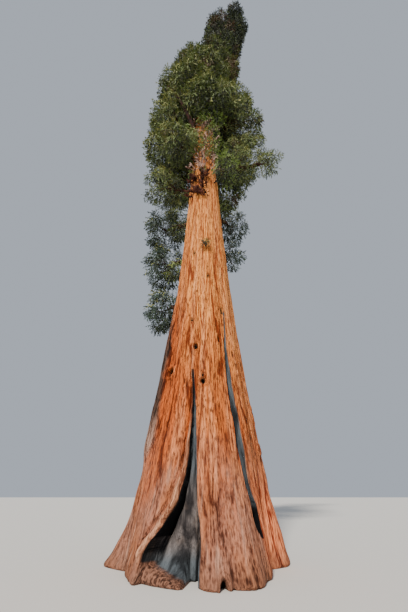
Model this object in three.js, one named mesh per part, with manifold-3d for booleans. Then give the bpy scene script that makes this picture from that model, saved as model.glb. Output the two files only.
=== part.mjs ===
// An old giant sequoia: a buttressed foot with a fire hollow and a fire seam, a clear tapering trunk that
// leans a little forwards, boughs that leave it, and a narrow crown of dense, rounded masses of foliage in
// tiers, with its top drawn over to the right. Its front is towards -Y, its left is -X, and up is +Z.
import * as THREE from "three";
import { mergeVertices } from "three/addons/utils/BufferGeometryUtils.js";
import Module from "manifold-3d";

const wasm = await Module();
wasm.setup();

// Driving dimensions. The living tree is 65 m high and is scaled evenly to 40 m. Every length below is in
// metres of the living tree, and METRE turns it into millimetres of the model. Bearings are in degrees from
// the front, growing towards the right.
const MODEL_HEIGHT = 40000;
const LIVING_HEIGHT = 65;
const METRE = MODEL_HEIGHT / LIVING_HEIGHT;
const SEAT = 0.3 / METRE; // the clearance between a piece and what carries it: 0.3 mm in the model

// The stem: its taper, the swelling of its butt, and the path of its middle line.
const STEM = { top: 63.4, radius: 1.0, taper: 0.9, tip: 0.05, levels: 24, levelSpread: 2.1 };
const BUTT = { swell: 1.35, fade: 7.2 };
const LEAN_FORWARD = 0.025;
const SWAY = { right: 3.4, from: 26, bend: 1.5 };
const COLUMNS = { coarse: 12, fine: 6, fineFrom: -60, fineTo: 78 };
const FLUTES = { count: 9, depth: 0.022 };

// Root buttresses, the two broad ribs above them and, where the reach is negative, the folds between them:
// half width in degrees, reach at the ground, and the height over which it fades.
const BUTTRESSES = [
  { bearing: -92, width: 16, reach: 0.6, fade: 0.8 },
  { bearing: -66, width: 10, reach: -0.25, fade: 1.0 },
  { bearing: -44, width: 22, reach: 0.1, fade: 5.0 },
  { bearing: -31, width: 15, reach: 0.3, fade: 0.8 },
  { bearing: 3, width: 6, reach: 0.3, fade: 1.0 },
  { bearing: 18, width: 20, reach: 0.16, fade: 5.0 },
  { bearing: 24, width: 10, reach: 0.38, fade: 1.2 },
  { bearing: 62, width: 14, reach: -0.55, fade: 2.2 },
  { bearing: 112, width: 16, reach: 0.5, fade: 1.0 },
  { bearing: 156, width: 15, reach: 0.42, fade: 0.9 },
  { bearing: -146, width: 17, reach: 0.46, fade: 1.0 },
];

// Fire scars, as stations from the ground up: height, the bearings of the mouth's left and right edges, and
// the depth burnt in at the left and at the right. A low toe of bark closes the left half of the hollow's
// mouth at the ground.
const HOLLOW_DOOR = [
  [-0.3, -15, -4, 1.4, 1.3],
  [0.45, -15, -4, 1.4, 1.3],
];
const HOLLOW_MOUTH = [
  [0.3, -34, -3, 1.15, 1.2],
  [0.5, -33, -2.5, 1.1, 1.15],
  [1.0, -25, -3.2, 0.95, 1.0],
  [1.5, -17.5, -5, 0.75, 0.8],
  [2.3, -12.8, -6.3, 0.5, 0.5],
  [3.6, -11.2, -7.9, 0.3, 0.28],
  [5.6, -14.6, -13.6, 0.1, 0.1],
];
const HOLLOW_CHAMBER = { from: -46, to: -6, outer: 0.55, inner: 1.25, bottom: -0.3, top: 0.6 };
const FIRE_SEAM = [
  [0.4, 50, 60, 0.3, 0.3],
  [0.7, 42, 56, 0.5, 0.45],
  [1.1, 36.5, 48, 0.5, 0.5],
  [1.6, 34.5, 38.5, 0.3, 0.3],
  [2.0, 31.8, 36.8, 0.18, 0.18],
  [3.2, 29.8, 37.2, 0.16, 0.16],
  [5.0, 28.6, 36.4, 0.13, 0.13],
  [7.6, 35.2, 37, 0.07, 0.07],
];
// How far a scar's cutter runs out past the bark, and the shape of its back, in shares: the depth of its
// flanks, how far in from its edges its two pockets are deepest, and the depth at the rib between them.
const SCAR = { clear: 1.2, flank: 0.6, pocket: 0.15, rib: 0.5 };

// The crown's outline, as stations from its foot up: height, then its furthest reach to the left, right,
// front and back, measured from the middle of the trunk's foot.
const CROWN = [
  [15, -3.9, 3.4, -1.4, 4.8],
  [20, -4.8, 5.1, -3.2, 5.3],
  [25, -5.1, 5.5, -3.8, 5.4],
  [29, -5.4, 5.5, -4.2, 5.2],
  [33, -5.5, 4.3, -4.2, 4.9],
  [37, -5.2, 4.3, -3.9, 4.5],
  [42, -4.1, 4.7, -3.3, 4.1],
  [45, -3.5, 4.6, -3.1, 3.7],
  [47, -1.0, 4.6, -3.0, 3.5],
  [51, -0.4, 5.8, -3.2, 2.9],
  [57, -0.3, 6.9, -3.5, 2.0],
  [65, 0.6, 6.6, -3.4, 0.8],
];
const CROWN_FOOT = { front: 23.5, side: 17.6, back: 15.0 };

// The masses of foliage stand in tiers round the stem. A mass's radius grows from the crown's foot to its
// middle, over the first two heights, and shrinks again to its head, over the last two.
const TIERS = {
  first: 19.4,
  lift: 4.1,
  turn: 137.5,
  wander: 1.2,
  jitter: 0.3,
  masses: [4, 5, 5, 4, 4, 4, 4, 3, 3, 3, 2],
};
const MASS_RADIUS = { foot: 2.1, middle: 2.6, head: 2.0, spread: 0.14, grows: [18, 30], shrinks: [40, 58] };
const MASS_TALL = 1.15;
const SPACE_GAP = 0.02; // from a mass's own space to the plane between it and its neighbour

// Masses outside the tiers. The hanging ones are carried on boughs of their own, low behind the trunk and out
// to the right. The skirts sit close round the trunk under the crown.
const HANGING_MASSES = [
  { name: "low_left_lower", bearing: -140, height: 10.5, out: 3.65, radius: 1.25, tall: 1.5 },
  { name: "low_left_middle", bearing: -135, height: 13.6, out: 3.6, radius: 1.5, tall: 1.35 },
  { name: "low_left_upper", bearing: -127, height: 16.4, out: 3.4, radius: 1.5, tall: 1.3 },
  { name: "low_right_lower", bearing: 146, height: 14.4, out: 2.95, radius: 1.1, tall: 1.35 },
  { name: "low_right_upper", bearing: 140, height: 17.2, out: 3.2, radius: 1.3, tall: 1.3 },
  { name: "outer_right", bearing: 84, height: 20.4, out: 4.5, radius: 1.0, tall: 1.2 },
];
const SKIRT_MASSES = [
  { name: "skirt_left", bearing: -94, height: 18.4, out: 2.7, radius: 1.45, tall: 1.25 },
  { name: "skirt_front_left", bearing: -50, height: 20.9, out: 2.25, radius: 1.45, tall: 1.15 },
  { name: "skirt_front_right", bearing: 46, height: 18.0, out: 1.9, radius: 1.05, tall: 1.2 },
  { name: "skirt_right", bearing: 76, height: 19.7, out: 2.5, radius: 1.3, tall: 1.1 },
];
const TOP_MASS = { right: 4.8, front: 1.9, radius: 1.5 };
const LEADER_RADIUS = 0.3; // the root of the shoot that tops the tree
const SEEDS = { crown: 65, eachTier: 100, outside: 2000, top: 3000 };

// Shares of a mass's radius: the lumpy core, the twigs and sprays that stand out of it, and its own stem,
// which starts at a share of the bough's length. A spray's outline is in shares of its length and width.
const CORE = { radius: 0.8, lumps: 0.13 };
const TWIG = { every: 3, root: 0.5, radius: 0.06 };
const SPRAY = {
  count: 7,
  root: 0.62,
  onTwig: 0.7,
  length: 0.4,
  spread: 0.2,
  shortest: 0.2,
  shorter: 0.06,
  width: 0.42,
  thickness: 0.08,
  thickest: 0.45,
  splay: 0.5,
};
const SPRAY_OUTLINE = [
  [0, 0],
  [0.55, -0.5],
  [0.68, -0.16],
  [1, 0],
  [0.68, 0.16],
  [0.55, 0.5],
];
const MASS_STEM = { root: 0.085, tip: 0.05, rise: 0.5, sides: 3, start: 0.9 };

// A bough leaves the stem, sags a little and rises into its mass, where it ends. Masses higher than the
// height given here, and the skirts, sit on the stem itself.
const BOUGH = {
  highest: 27,
  root: 0.13,
  tip: 0.075,
  least: 1.6,
  rise: 0.8,
  sag: 0.3,
  enters: 0.66,
  sides: 5,
  steps: 4,
};

// What foliage keeps away from the stem: a plainer column, a little wider than the bark.
const STEM_ROOM = { sides: 10, levels: 8, from: 10, wider: 1.08, clearance: 0.04 };

const BARK = new THREE.MeshStandardMaterial({ color: 0xa8623a, roughness: 0.95, metalness: 0 });
const LIMB_BARK = new THREE.MeshStandardMaterial({ color: 0x7b5338, roughness: 0.95, metalness: 0 });
const FOLIAGE = new THREE.MeshStandardMaterial({ color: 0x3f5a26, roughness: 0.8, metalness: 0 });

// A repeatable stream of numbers from 0 to 1.
function seeded(seed) {
  let state = seed >>> 0;
  return () => {
    state = (state + 0x6d2b79f5) >>> 0;
    let t = Math.imul(state ^ (state >>> 15), state | 1);
    t ^= t + Math.imul(t ^ (t >>> 7), t | 61);
    return ((t ^ (t >>> 14)) >>> 0) / 4294967296;
  };
}

// The row of a table of stations at a height, worked out between the rows on either side of it.
function station(table, height) {
  const upper = table.findIndex((row) => row[0] > height);
  if (upper === 0) return table[0];
  if (upper < 0) return table[table.length - 1];
  const share = (height - table[upper - 1][0]) / (table[upper][0] - table[upper - 1][0]);
  return table[upper].map((value, i) => THREE.MathUtils.lerp(table[upper - 1][i], value, share));
}

// The level direction at a bearing.
function towards(bearing) {
  const angle = THREE.MathUtils.degToRad(bearing);
  return new THREE.Vector3(Math.sin(angle), -Math.cos(angle), 0);
}

// The middle of the stem at a height.
function stemMiddle(height) {
  const sway = THREE.MathUtils.clamp((height - SWAY.from) / (STEM.top - SWAY.from), 0, 1);
  return new THREE.Vector3(SWAY.right * sway ** SWAY.bend, -LEAN_FORWARD * height, height);
}

// The stem's radius at a height and a bearing, with its flutes, buttresses and folds.
function stemRadius(height, bearing) {
  const left = Math.max(0, 1 - height / STEM.top);
  const plain = STEM.radius * left ** STEM.taper + BUTT.swell * Math.exp(-height / BUTT.fade);
  const flute = FLUTES.depth * Math.sin(THREE.MathUtils.degToRad(FLUTES.count * bearing));
  let radius = Math.max(plain * (1 + flute), STEM.tip);
  for (const { bearing: at, width, reach, fade } of BUTTRESSES) {
    const off = ((bearing - at + 540) % 360) - 180;
    radius += reach * Math.exp(-((off / width) ** 2) - height / fade);
  }
  return radius;
}

// A closed geometry through rings of points that all have as many points and run anticlockwise, seen from
// the last ring. A fan from the middle of the ring closes each end.
function loft(rings) {
  const sides = rings[0].length;
  const sumOf = (ring) => ring.reduce((sum, point) => sum.add(point), new THREE.Vector3());
  const middleOf = (ring) => sumOf(ring).divideScalar(sides);
  const points = [...rings.flat(), middleOf(rings[0]), middleOf(rings[rings.length - 1])];
  const [first, last] = [points.length - 2, points.length - 1];
  const top = (rings.length - 1) * sides;
  const faces = [];
  for (let side = 0; side < sides; side++) {
    const next = (side + 1) % sides;
    for (let row = 0; row < top; row += sides) {
      faces.push(row + side, row + next, row + sides + next);
      faces.push(row + side, row + sides + next, row + sides + side);
    }
    faces.push(first, next, side);
    faces.push(last, top + side, top + next);
  }
  return new THREE.BufferGeometry().setFromPoints(points).setIndex(faces);
}

// A closed geometry, with its shared points merged, as a solid that can be joined and cut.
function solid(geometry) {
  const { attributes, index } = mergeVertices(geometry, 1e-5);
  return new wasm.Manifold(
    new wasm.Mesh({
      numProp: 3,
      vertProperties: attributes.position.array,
      triVerts: new Uint32Array(index.array),
    }),
  );
}

// The largest body of a solid: loose scraps that a cut leaves are dropped.
function largest(made) {
  return made.decompose().reduce((best, body) => (body.volume() > best.volume() ? body : best));
}

// Two level-headed directions square to a direction.
function squareTo(along) {
  const level = Math.abs(along.z) > 0.99 ? new THREE.Vector3(1, 0, 0) : new THREE.Vector3(0, 0, 1);
  const across = level.cross(along).normalize();
  return [across, along.clone().cross(across)];
}

// A round, tapering limb along a curve. A clearance grows it all round and past its end.
function limb(curve, root, tip, sides, steps, clearance = 0) {
  const rings = [];
  for (let step = 0; step <= steps; step++) {
    const share = step / steps;
    const along = curve.getTangent(share);
    const [across, up] = squareTo(along);
    const middle = curve.getPoint(share).addScaledVector(along, step === steps ? clearance : 0);
    const radius = THREE.MathUtils.lerp(root, tip, share) + clearance;
    rings.push(
      Array.from({ length: sides }, (_, side) => {
        const angle = (2 * Math.PI * side) / sides;
        return middle
          .clone()
          .addScaledVector(across, radius * Math.cos(angle))
          .addScaledVector(up, radius * Math.sin(angle));
      }),
    );
  }
  return solid(loft(rings));
}

// The bearings of the trunk's columns of points, closer together in front, where the scars and folds are.
function columnBearings() {
  const bearings = [];
  let bearing = -180;
  while (bearing < 180) {
    bearings.push(bearing);
    bearing += bearing >= COLUMNS.fineFrom && bearing < COLUMNS.fineTo ? COLUMNS.fine : COLUMNS.coarse;
  }
  return bearings;
}

// The stem as one solid, grown by a clearance.
function stemSolid(clearance) {
  const bearings = columnBearings();
  const rings = [];
  for (let level = 0; level <= STEM.levels; level++) {
    const height = STEM.top * (level / STEM.levels) ** STEM.levelSpread;
    rings.push(
      bearings.map((bearing) =>
        stemMiddle(height).addScaledVector(towards(bearing), stemRadius(height, bearing) + clearance),
      ),
    );
  }
  return solid(loft(rings));
}

// The room that foliage leaves for the stem.
function stemRoom() {
  const rings = [];
  for (let level = 0; level <= STEM_ROOM.levels; level++) {
    const height = THREE.MathUtils.lerp(STEM_ROOM.from, STEM.top, level / STEM_ROOM.levels);
    rings.push(
      Array.from({ length: STEM_ROOM.sides }, (_, side) => {
        const bearing = (360 * side) / STEM_ROOM.sides;
        const radius = stemRadius(height, bearing) * STEM_ROOM.wider + STEM_ROOM.clearance;
        return stemMiddle(height).addScaledVector(towards(bearing), radius);
      }),
    );
  }
  return solid(loft(rings));
}

// A point in or outside the stem, at a bearing and a distance out from the bark.
function atBark(height, bearing, out) {
  const level = Math.max(height, 0);
  return stemMiddle(level)
    .setZ(height)
    .addScaledVector(towards(bearing), stemRadius(level, bearing) + out);
}

// What a fire scar takes out of the stem: two pockets with a rib of charred wood between them.
function scarCutter(stations) {
  const rings = stations.map(([height, left, right, leftDepth, rightDepth]) => {
    const across = (share) => THREE.MathUtils.lerp(left, right, share);
    return [
      atBark(height, left, SCAR.clear),
      atBark(height, across(0.5), SCAR.clear),
      atBark(height, right, SCAR.clear),
      atBark(height, right, -rightDepth * SCAR.flank),
      atBark(height, across(1 - SCAR.pocket), -rightDepth),
      atBark(height, across(0.5), (-SCAR.rib * (leftDepth + rightDepth)) / 2),
      atBark(height, across(SCAR.pocket), -leftDepth),
      atBark(height, left, -leftDepth * SCAR.flank),
    ];
  });
  return solid(loft(rings));
}

// The chamber behind the hollow's toe: a shallow ring of space at the ground, open above into the mouth.
function chamberCutter() {
  const { from, to, outer, inner, bottom, top } = HOLLOW_CHAMBER;
  const rings = [bottom, top].map((height) => [
    atBark(height, from, -outer),
    atBark(height, (from + to) / 2, -outer),
    atBark(height, to, -outer),
    atBark(height, to, -inner),
    atBark(height, (from + to) / 2, -inner),
    atBark(height, from, -inner),
  ]);
  return solid(loft(rings));
}

function trunkSolid() {
  const scars = [HOLLOW_DOOR, HOLLOW_MOUTH, FIRE_SEAM].map(scarCutter);
  return largest(stemSolid(0).subtract(wasm.Manifold.union([...scars, chamberCutter()])));
}

// The crown's foot at a bearing: lowest at the back, and highest over the front of the trunk.
function crownFoot(bearing) {
  const facing = Math.cos(THREE.MathUtils.degToRad(bearing));
  const end = facing > 0 ? CROWN_FOOT.front : CROWN_FOOT.back;
  return THREE.MathUtils.lerp(CROWN_FOOT.side, end, facing ** 2);
}

function massRadius(height, random) {
  const { foot, middle, head, spread, grows, shrinks } = MASS_RADIUS;
  const growing = THREE.MathUtils.smoothstep(height, ...grows);
  const shrinking = THREE.MathUtils.smoothstep(height, ...shrinks);
  const plain = foot + (middle - foot) * growing + (head - middle) * shrinking;
  return plain * (1 + spread * (random() - 0.5));
}

const SIDES = ["front", "front_right", "right", "back_right", "back", "back_left", "left", "front_left"];

// The masses of one tier, each just inside the crown's outline at its own height.
function placeTier(tier, random) {
  const placed = [];
  const count = TIERS.masses[tier];
  const height = TIERS.first + tier * TIERS.lift;
  for (let place = 0; place < count; place++) {
    const turn = tier * TIERS.turn + ((place + TIERS.jitter * random()) * 360) / count;
    const bearing = ((turn + 180) % 360) - 180;
    const middle = height + TIERS.wander * (random() - 0.5);
    const radius = massRadius(height, random);
    if (middle - radius < crownFoot(bearing)) continue;
    const [, left, right, front, back] = station(CROWN, middle);
    const out = towards(bearing);
    placed.push({
      name: `foliage_${tier + 1}_${SIDES[Math.round((bearing + 360) / 45) % SIDES.length]}`,
      centre: new THREE.Vector3(
        (left + right) / 2 + out.x * ((right - left) / 2 - radius),
        (front + back) / 2 + out.y * ((back - front) / 2 - radius),
        middle,
      ),
      radius,
      tall: MASS_TALL,
      seed: SEEDS.eachTier * (tier + 1) + place,
    });
  }
  return placed;
}

// Every mass of foliage: its name, centre, radius, height as a share of its width, and seed.
function placeMasses() {
  const random = seeded(SEEDS.crown);
  const masses = TIERS.masses.flatMap((_, tier) => placeTier(tier, random));
  [...HANGING_MASSES, ...SKIRT_MASSES].forEach(({ name, bearing, height, out, radius, tall }, place) => {
    const centre = stemMiddle(height).addScaledVector(towards(bearing), out);
    masses.push({ name: `foliage_${name}`, centre, radius, tall, seed: SEEDS.outside + place });
  });
  masses.push({
    name: "foliage_top",
    centre: new THREE.Vector3(TOP_MASS.right, -TOP_MASS.front, LIVING_HEIGHT - TOP_MASS.radius * MASS_TALL),
    radius: TOP_MASS.radius,
    tall: MASS_TALL,
    seed: SEEDS.top,
    leader: true,
  });
  return masses;
}

// The flat sides of a mass's own space: one towards each neighbour, nearer to the smaller of the two.
function spaceOf(mass, masses) {
  const planes = [];
  for (const other of masses) {
    const apart = mass.centre.distanceTo(other.centre);
    if (other === mass || apart > mass.tall * mass.radius + other.tall * other.radius) continue;
    const share = 0.5 + (mass.radius ** 2 - other.radius ** 2) / (2 * apart ** 2);
    const normal = mass.centre.clone().sub(other.centre).divideScalar(apart);
    const on = mass.centre.clone().lerp(other.centre, share);
    planes.push({ normal, offset: normal.dot(on) + SPACE_GAP });
  }
  return planes;
}

// True where a point keeps to the mass's own space and reach, and clear of the stem.
function keepsToSpace(point, mass, planes) {
  if (planes.some(({ normal, offset }) => normal.dot(point) < offset)) return false;
  const from = point.clone().sub(mass.centre);
  from.z /= mass.tall;
  if (from.length() > mass.radius) return false;
  const aside = point.clone().sub(stemMiddle(point.z)).setZ(0);
  return aside.length() > stemRadius(point.z, 0) + SPACE_GAP || point.z > STEM.top;
}

// The lumpy core of a dense mass.
function coreSolid(mass, random) {
  const geometry = new THREE.OctahedronGeometry(mass.radius * CORE.radius, 1);
  geometry.deleteAttribute("normal");
  geometry.deleteAttribute("uv");
  const core = mergeVertices(geometry, 1e-4);
  const { position } = core.attributes;
  for (let i = 0; i < position.count; i++) {
    const lump = 1 + CORE.lumps * (2 * random() - 1);
    const [x, y, z] = [position.getX(i), position.getY(i), position.getZ(i)];
    position.setXYZ(i, x * lump, y * lump, z * lump * mass.tall);
  }
  return solid(core.translate(...mass.centre.toArray()));
}

// The corners of one spray, a blade with a tooth on each side: its outline, then the two points where it is
// thickest.
function sprayPoints(root, along, across, length, radius) {
  const proud = along.clone().cross(across).normalize();
  const at = (far, aside, out) =>
    root
      .clone()
      .addScaledVector(along, far * length)
      .addScaledVector(across, aside * SPRAY.width * radius)
      .addScaledVector(proud, out * SPRAY.thickness * radius);
  const outline = SPRAY_OUTLINE.map(([far, aside]) => at(far, aside, 0));
  return [...outline, at(SPRAY.thickest, 0, 0.5), at(SPRAY.thickest, 0, -0.5)];
}

function spraySolid(points) {
  const upper = SPRAY_OUTLINE.length;
  const lower = upper + 1;
  const faces = [];
  for (let i = 0; i < upper; i++) {
    const next = (i + 1) % upper;
    faces.push(i, next, upper, next, i, lower);
  }
  return solid(new THREE.BufferGeometry().setFromPoints(points).setIndex(faces));
}

// A direction out of the middle of a mass, one of an even number all round it.
function spoke(place, count, spin) {
  const lift = 1 - (2 * (place + 0.5)) / count;
  const angle = spin + place * Math.PI * (3 - Math.sqrt(5));
  const level = Math.sqrt(1 - lift ** 2);
  return new THREE.Vector3(level * Math.cos(angle), level * Math.sin(angle), lift);
}

// A pointed, three-sided twig.
function twigSolid(root, tip, radius) {
  const [across, up] = squareTo(tip.clone().sub(root).normalize());
  const ring = [0, 1, 2].map((side) => {
    const angle = (2 * Math.PI * side) / 3;
    return root
      .clone()
      .addScaledVector(across, radius * Math.cos(angle))
      .addScaledVector(up, radius * Math.sin(angle));
  });
  const faces = [0, 2, 1, 0, 1, 3, 1, 2, 3, 2, 0, 3];
  return solid(new THREE.BufferGeometry().setFromPoints([...ring, tip]).setIndex(faces));
}

// The twigs and sprays of a mass, in directions out of its middle. Each spray has its root sunk in the core,
// or further out on a twig that runs into its blade. One that would leave the mass's space is tried again
// shorter, and is skipped when it would be too short.
function leafySolids(mass, planes, random) {
  const pieces = [];
  const spin = 2 * Math.PI * random();
  for (let place = 0; place < SPRAY.count; place++) {
    const way = spoke(place, SPRAY.count, spin);
    const [across, up] = squareTo(way);
    const turn = 2 * Math.PI * random();
    const aside = across.clone().multiplyScalar(Math.cos(turn)).addScaledVector(up, Math.sin(turn));
    const onTwig = place % TWIG.every === 0;
    const along = way.clone().addScaledVector(aside, onTwig ? 0 : SPRAY.splay * random()).normalize();
    const flat = along.clone().cross(aside).normalize();
    const rootShare = onTwig ? SPRAY.onTwig : SPRAY.root;
    const root = mass.centre.clone().addScaledVector(way, rootShare * mass.radius);
    const longest = SPRAY.length * (1 + SPRAY.spread * random());
    for (let length = longest; length > SPRAY.shortest; length -= SPRAY.shorter) {
      const points = sprayPoints(root, along, flat, length * mass.radius, mass.radius);
      if (!points.every((point) => keepsToSpace(point, mass, planes))) continue;
      pieces.push(spraySolid(points));
      if (onTwig) {
        const start = mass.centre.clone().addScaledVector(way, TWIG.root * mass.radius);
        const end = root.clone().addScaledVector(along, (length * mass.radius) / 2);
        pieces.push(twigSolid(start, end, TWIG.radius * mass.radius));
      }
      break;
    }
  }
  return pieces;
}

// The curve of a mass's bough: out of the stem, sagging a little, and up to where it enters the mass.
function boughCurve(mass) {
  const root = stemMiddle(mass.centre.z - BOUGH.rise * mass.radius);
  const end = mass.centre.clone().lerp(root, (BOUGH.enters * mass.radius) / mass.centre.distanceTo(root));
  const bend = root.clone().lerp(end, 0.5);
  bend.z -= BOUGH.sag * mass.radius;
  return new THREE.QuadraticBezierCurve3(root, bend, end);
}

// What carries a mass. A bough is a limb of its own, and a mass's stem starts inside the bough or the trunk,
// is cut clear of it and runs to the mass's middle.
function carry(mass) {
  const { centre, radius } = mass;
  let start = stemMiddle(Math.min(centre.z - MASS_STEM.rise * radius, STEM.top - MASS_STEM.rise));
  if (centre.z < BOUGH.highest && !mass.name.startsWith("foliage_skirt")) {
    const curve = boughCurve(mass);
    const size = Math.max(radius, BOUGH.least);
    const shape = [curve, BOUGH.root * size, BOUGH.tip * size, BOUGH.sides, BOUGH.steps];
    mass.bough = limb(...shape).subtract(clearOfStem);
    mass.boughSpace = limb(...shape, SEAT);
    start = curve.getPoint(MASS_STEM.start);
  }
  const line = new THREE.LineCurve3(start, centre);
  const shape = [line, MASS_STEM.root * radius, MASS_STEM.tip * radius, MASS_STEM.sides, 1];
  mass.stem = limb(...shape);
  mass.stemSpace = limb(...shape, SEAT);
}

// A mass of foliage: its stem, a lumpy core, and the twigs and sprays that stand out of it.
function massSolid(mass, masses) {
  const random = seeded(mass.seed);
  const planes = spaceOf(mass, masses);
  const pieces = [coreSolid(mass, random), ...leafySolids(mass, planes, random)];
  if (mass.leader) {
    const tip = mass.centre.clone().setZ(LIVING_HEIGHT);
    pieces.push(twigSolid(mass.centre, tip, LEADER_RADIUS));
  }
  const foliage = planes.reduce(
    (made, { normal, offset }) => made.trimByPlane(normal.toArray(), offset),
    wasm.Manifold.union(pieces).subtract(roomForStem),
  );
  const inTheWay = masses.flatMap((other) => [
    ...(other.boughSpace ? [other.boughSpace] : []),
    ...(other === mass ? [] : [other.stemSpace]),
  ]);
  return largest(foliage.add(mass.stem).subtract(wasm.Manifold.union([clearOfStem, ...inTheWay])));
}

// Adds a solid to the tree as a mesh, with its points turned into millimetres.
function addPiece(name, made, material) {
  const { vertProperties, triVerts } = made.getMesh();
  const geometry = new THREE.BufferGeometry();
  geometry.setAttribute("position", new THREE.BufferAttribute(vertProperties, 3));
  geometry.setIndex(new THREE.BufferAttribute(triVerts, 1));
  geometry.scale(METRE, METRE, METRE);
  geometry.computeVertexNormals();
  const mesh = new THREE.Mesh(geometry, material);
  mesh.name = name;
  tree.add(mesh);
}

const tree = new THREE.Group();
tree.name = "giant_sequoia";

const clearOfStem = stemSolid(SEAT);
const roomForStem = stemRoom();
addPiece("trunk", trunkSolid(), BARK);

const masses = placeMasses();
masses.forEach(carry);
for (const { name, bough } of masses) {
  if (bough) addPiece(name.replace("foliage", "bough"), largest(bough), LIMB_BARK);
}
for (const mass of masses) addPiece(mass.name, massSolid(mass, masses), FOLIAGE);

export default tree;
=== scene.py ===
import math

import bpy
import numpy as np
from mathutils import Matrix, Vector


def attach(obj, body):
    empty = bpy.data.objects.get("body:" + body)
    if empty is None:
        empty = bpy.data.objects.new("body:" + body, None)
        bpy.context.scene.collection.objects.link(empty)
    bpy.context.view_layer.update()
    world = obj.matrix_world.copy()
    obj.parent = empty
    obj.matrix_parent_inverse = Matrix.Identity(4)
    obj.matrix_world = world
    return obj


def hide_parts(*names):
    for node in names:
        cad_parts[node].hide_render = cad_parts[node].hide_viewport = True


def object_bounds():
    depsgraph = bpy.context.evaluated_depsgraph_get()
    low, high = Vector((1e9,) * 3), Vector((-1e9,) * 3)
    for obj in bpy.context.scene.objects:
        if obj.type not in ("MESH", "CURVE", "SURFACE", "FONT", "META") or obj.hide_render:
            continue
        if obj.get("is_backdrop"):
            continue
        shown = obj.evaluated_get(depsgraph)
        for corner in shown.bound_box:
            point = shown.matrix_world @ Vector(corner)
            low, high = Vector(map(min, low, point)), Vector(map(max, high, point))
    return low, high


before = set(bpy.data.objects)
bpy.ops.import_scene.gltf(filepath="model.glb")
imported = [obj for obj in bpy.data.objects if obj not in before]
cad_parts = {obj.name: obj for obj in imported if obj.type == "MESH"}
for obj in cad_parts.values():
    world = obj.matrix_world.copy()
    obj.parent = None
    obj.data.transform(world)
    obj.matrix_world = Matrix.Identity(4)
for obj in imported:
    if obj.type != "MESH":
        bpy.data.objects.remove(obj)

# An old giant sequoia, 65 m high in life and scaled evenly to 40 m. Lengths are in metres of the living tree,
# and METRE turns them into metres of the model. Bearings are in degrees from the front, growing towards the
# right. The front is towards -Y, the left is -X and up is +Z.
LIVING_HEIGHT = 65
METRE = 40 / LIVING_HEIGHT
cad_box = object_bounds()


# The camera: at eye height above the ground, 10.6 m in front of the middle of the trunk, with a wide
# lens tilted steeply up at the crown.
EYE_HEIGHT = 1.6
EYE_AWAY = 10.6
EYE_PITCH = math.radians(35)
camera = bpy.data.objects.new("camera", bpy.data.cameras.new("camera"))
camera.data.lens = 16
camera.data.sensor_width = 36
camera.location = (0, -EYE_AWAY * METRE, EYE_HEIGHT * METRE)
camera.rotation_euler = (math.pi / 2 + EYE_PITCH, 0, 0)
bpy.context.collection.objects.link(camera)
bpy.context.scene.camera = camera


# The studio: a plain pale floor, a soft pale surround, and one large soft light high in front on the left,
# where the light on the living tree comes from.
FLOOR_HALF = 400
floor_mesh = bpy.data.meshes.new("floor")
floor_corners = [(FLOOR_HALF * x, FLOOR_HALF * y, 0) for x, y in ((-1, -1), (1, -1), (1, 1), (-1, 1))]
floor_mesh.from_pydata(floor_corners, [], [(0, 1, 2, 3)])
floor = bpy.data.objects.new("floor", floor_mesh)
floor_paint = bpy.data.materials.new("pale_floor")
floor_paint.use_nodes = True
floor_shader = floor_paint.node_tree.nodes["Principled BSDF"]
floor_shader.inputs["Base Color"].default_value = (0.62, 0.6, 0.57, 1)
floor_shader.inputs["Roughness"].default_value = 0.9
floor_mesh.materials.append(floor_paint)
bpy.context.collection.objects.link(floor)
floor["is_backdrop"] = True

surround = bpy.data.worlds.new("surround")
surround.use_nodes = True
sky = surround.node_tree.nodes["Background"]
sky.inputs["Color"].default_value = (0.8, 0.88, 1.0, 1)
sky.inputs["Strength"].default_value = 0.55
bpy.context.scene.world = surround

KEY_FROM = (-0.24, -0.8, 0.6)
key = bpy.data.objects.new("key_light", bpy.data.lights.new("key_light", "SUN"))
key.data.energy = 5.6
key.data.angle = math.radians(8)
key.data.color = (1.0, 0.94, 0.84)
key.rotation_euler = Vector(KEY_FROM).to_track_quat("Z", "Y").to_euler()
bpy.context.collection.objects.link(key)


# The trunk: one tapering stem of fibrous cinnamon bark, fluted, buttressed at its foot, leaning a little
# forwards, with its top drawn over to the right. The bark splits into long ridges as the wood swells, is worn
# and cracked at the foot, and is burnt away at the hollow and at the seam to the right of it.
STEM_TOP = 63.4
STEM_RADIUS = 1.0
STEM_TAPER = 0.9
STEM_TIP = 0.05
BUTT_SWELL = 1.35
BUTT_FADE = 7.2
LEAN_FORWARD = 0.025
SWAY_RIGHT = 3.4
SWAY_FROM = 26
SWAY_BEND = 1.5
FLUTES = 9
FLUTE_DEPTH = 0.022
# Bearing, half width in degrees, reach at the ground, which is below 0 for a fold, and the height over which
# it fades.
BUTTRESSES = [
    (-92, 16, 0.6, 0.8),
    (-66, 10, -0.25, 1.0),
    (-44, 22, 0.1, 5.0),
    (-31, 15, 0.3, 0.8),
    (3, 6, 0.3, 1.0),
    (18, 20, 0.16, 5.0),
    (24, 10, 0.38, 1.2),
    (62, 14, -0.55, 2.2),
    (112, 16, 0.5, 1.0),
    (156, 15, 0.42, 0.9),
    (-146, 17, 0.46, 1.0),
]


def smooth_step(value, low, high):
    """From 0 to 1 as the value goes from low to high, flat at both ends."""
    share = np.clip((np.asarray(value, float) - low) / (high - low), 0, 1)
    return share * share * (3 - 2 * share)


def smooth_fall(value, low, high):
    """From 1 to 0 as the value goes from low to high, flat at both ends."""
    return smooth_step(-value, -high, -low)


def hump(off, width):
    """A rounded rise: 1 where off is 0, and almost gone at twice the width."""
    return np.exp(-((off / width) ** 2))


def towards(bearing):
    """The level directions at bearings."""
    angle = np.radians(bearing)
    return np.stack([np.sin(angle), -np.cos(angle), np.zeros_like(angle)], axis=-1)


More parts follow.
